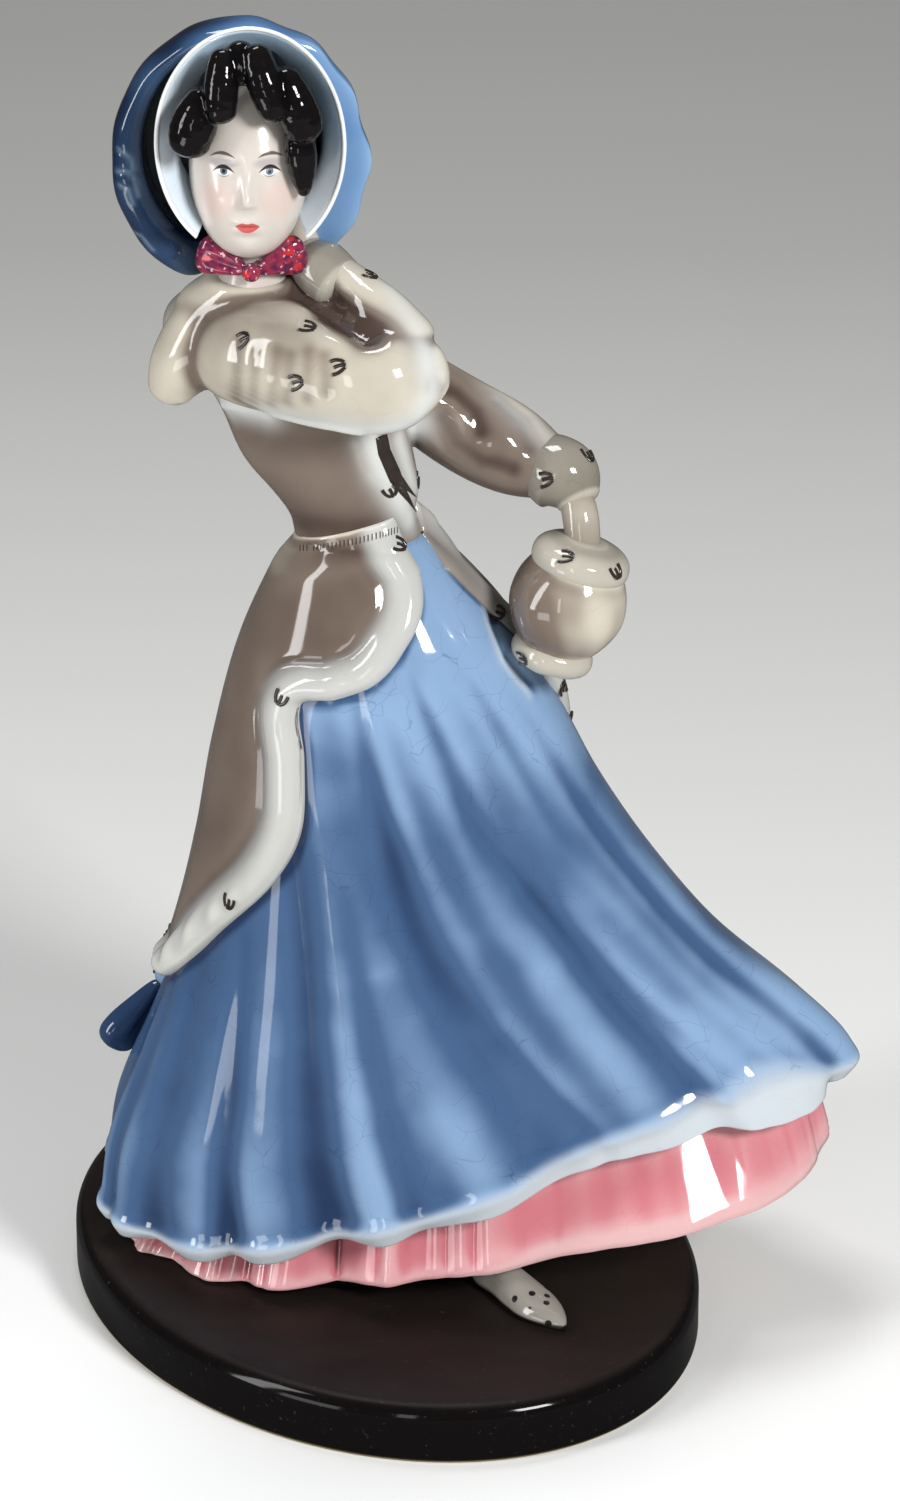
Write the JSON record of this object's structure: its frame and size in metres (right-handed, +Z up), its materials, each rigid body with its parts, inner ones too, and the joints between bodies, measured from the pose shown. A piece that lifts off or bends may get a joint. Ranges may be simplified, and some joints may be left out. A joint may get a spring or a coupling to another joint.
{
  "type": "lady figurine",
  "caption": "Glazed earthenware lady in a bonnet, fur-edged coat and blown skirt, with a muff, touching the bonnet, on an oval plinth; a rigid hollow ornament that stands on a shelf.",
  "frame": {"origin": "centre of the oval plinth's flat underside", "axes": "+Z up, -Y the side that the lady faces, +X the side of the lowered arm and muff"},
  "size_m": [0.1798, 0.1606, 0.3107],
  "materials": {
    "black_glaze": "gloss black glaze, browner where it is thin",
    "hair_glaze": "gloss black glaze with sharp white highlights",
    "blue_glaze": "gloss blue glaze, deep in the folds and pale on the ridges",
    "pale_blue_glaze": "gloss pale blue glaze with a white rim",
    "rose_glaze": "gloss rose glaze, pale on the pleats",
    "fur_glaze": "gloss grey-mauve glaze with small painted ermine tails",
    "trim_glaze": "gloss off-white glaze",
    "skin_glaze": "gloss ivory glaze",
    "white_glaze": "gloss white glaze",
    "ribbon_glaze": "gloss crimson glaze with specks"
  },
  "bodies": {
    "root": {"plinth": "black_glaze", "mound": "black_glaze", "hair": "hair_glaze", "curl_left_low": "hair_glaze", "curl_left_high": "hair_glaze", "curl_middle": "hair_glaze", "curl_right_high": "hair_glaze", "curl_right_low": "hair_glaze", "ringlet": "hair_glaze", "skirt": "blue_glaze", "bonnet_hood": "blue_glaze", "back_bow_left_loop": "blue_glaze", "back_bow_right_loop": "blue_glaze", "back_bow_knot": "blue_glaze", "bonnet_brim": "pale_blue_glaze", "petticoat": "rose_glaze", "bodice": "fur_glaze", "coat_skirt": "fur_glaze", "raised_upper_sleeve": "fur_glaze", "raised_forearm_sleeve": "fur_glaze", "lowered_sleeve": "fur_glaze", "muff": "fur_glaze", "cape": "trim_glaze", "raised_cuff": "trim_glaze", "lowered_cuff": "trim_glaze", "muff_top_trim": "trim_glaze", "muff_end_trim": "trim_glaze", "head": "skin_glaze", "raised_hand": "skin_glaze", "shoe": "white_glaze", "ankle": "white_glaze", "skirt_floor": "white_glaze", "lowered_hand": "white_glaze", "bow_left_loop": "ribbon_glaze", "bow_right_loop": "ribbon_glaze", "bow_knot": "ribbon_glaze"}
  },
  "joints": []
}
